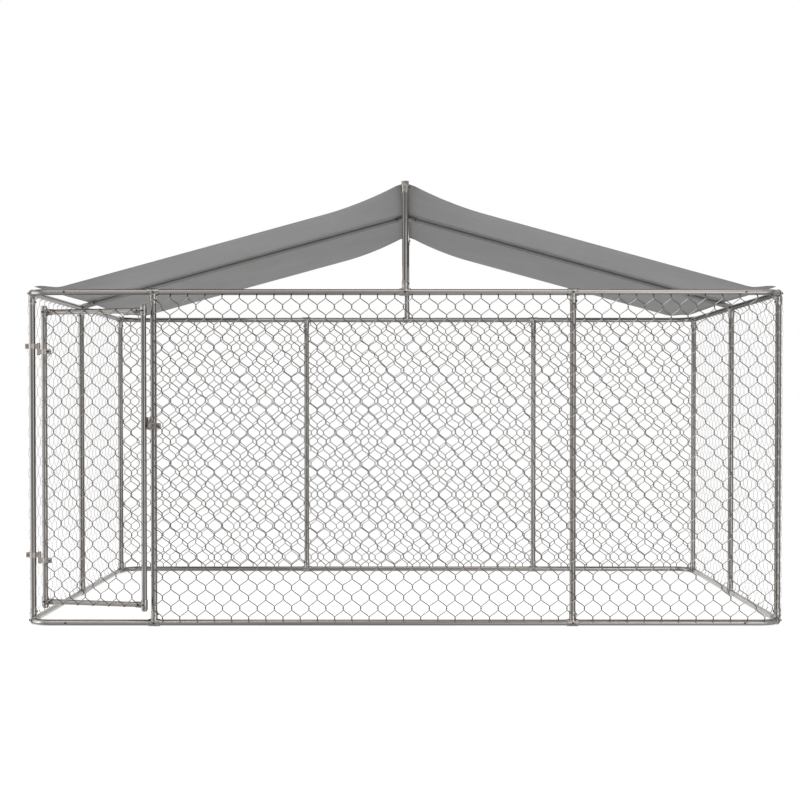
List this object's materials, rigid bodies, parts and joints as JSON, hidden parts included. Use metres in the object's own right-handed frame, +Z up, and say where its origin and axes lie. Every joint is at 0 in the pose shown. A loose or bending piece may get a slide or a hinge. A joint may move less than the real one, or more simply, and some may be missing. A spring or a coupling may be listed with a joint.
{
  "type": "outdoor dog kennel run",
  "caption": "Rectangular galvanised tube dog run with chain-link walls, a side-hung door with a drop latch, and a pitched cloth canopy over a ridge tube and rafters.",
  "frame": {"origin": "middle of the run's footprint, on the ground", "axes": "+X along the run's length, to the right as seen from the door side; +Y from the front with the door to the rear; +Z up"},
  "size_m": [4.0232, 2.3607, 2.3343],
  "materials": {
    "tube_steel": "galvanised, streaked along the tubes",
    "fitting_steel": "galvanised, duller than the tubes",
    "screw_steel": "zinc-plated",
    "net_wire": "galvanised wire",
    "canopy_cloth": "matt woven cloth"
  },
  "bodies": {
    "frame": {"front_bottom_rail": "tube_steel", "rear_bottom_rail": "tube_steel", "left_bottom_rail": "tube_steel", "right_bottom_rail": "tube_steel", "front_top_rail": "tube_steel", "rear_top_rail": "tube_steel", "left_top_rail": "tube_steel", "right_top_rail": "tube_steel", "bottom_corner_bends": "tube_steel", "top_corner_bends": "tube_steel", "front_left_post": "tube_steel", "front_right_post": "tube_steel", "rear_left_post": "tube_steel", "rear_right_post": "tube_steel", "door_post": "tube_steel", "front_middle_post": "tube_steel", "rear_middle_post_left": "tube_steel", "rear_middle_post_right": "tube_steel", "left_middle_post": "tube_steel", "right_middle_post": "tube_steel", "bottom_tees": "fitting_steel", "top_tees": "fitting_steel", "bottom_corner_tees": "fitting_steel", "top_corner_tees": "fitting_steel", "front_pole": "tube_steel", "rear_pole": "tube_steel", "pole_base_tees": "fitting_steel", "ridge_tees": "fitting_steel", "ridge_tube": "tube_steel", "ridge_cross_fitting": "fitting_steel", "left_rafter": "tube_steel", "right_rafter": "tube_steel", "rafter_feet": "fitting_steel", "canopy_left": "canopy_cloth", "canopy_right": "canopy_cloth", "front_net": "net_wire", "rear_net": "net_wire", "left_net": "net_wire", "right_net": "net_wire", "corner_nets": "net_wire", "upper_post_clamp": "fitting_steel", "lower_post_clamp": "fitting_steel", "hinge_pins": "fitting_steel", "latch_clamp": "fitting_steel", "latch_pins": "fitting_steel", "rail_joint_screws": "screw_steel", "bottom_tee_screws": "screw_steel", "top_tee_screws": "screw_steel", "roof_screws": "screw_steel", "clamp_bolts": "screw_steel"},
    "door": {"hinge_stile": "tube_steel", "latch_stile": "tube_steel", "door_top_bar": "tube_steel", "door_bottom_bar": "tube_steel", "door_tees": "fitting_steel", "door_net": "net_wire", "upper_stile_clamp": "fitting_steel", "lower_stile_clamp": "fitting_steel", "door_bolts": "screw_steel"},
    "latch": {"latch_bar": "fitting_steel"}
  },
  "joints": [
    {"name": "door_hinge", "type": "hinge", "parent": "frame", "child": "door", "pos_m": [-1.94555, -1.0507, 0.9], "axis": [0, 0, -1], "range_deg": [0, 100]},
    {"name": "latch_pivot", "type": "hinge", "parent": "frame", "child": "latch", "pos_m": [-1.328, -1.1965, 1.056], "axis": [0, -1, 0], "range_deg": [0, 100]}
  ]
}
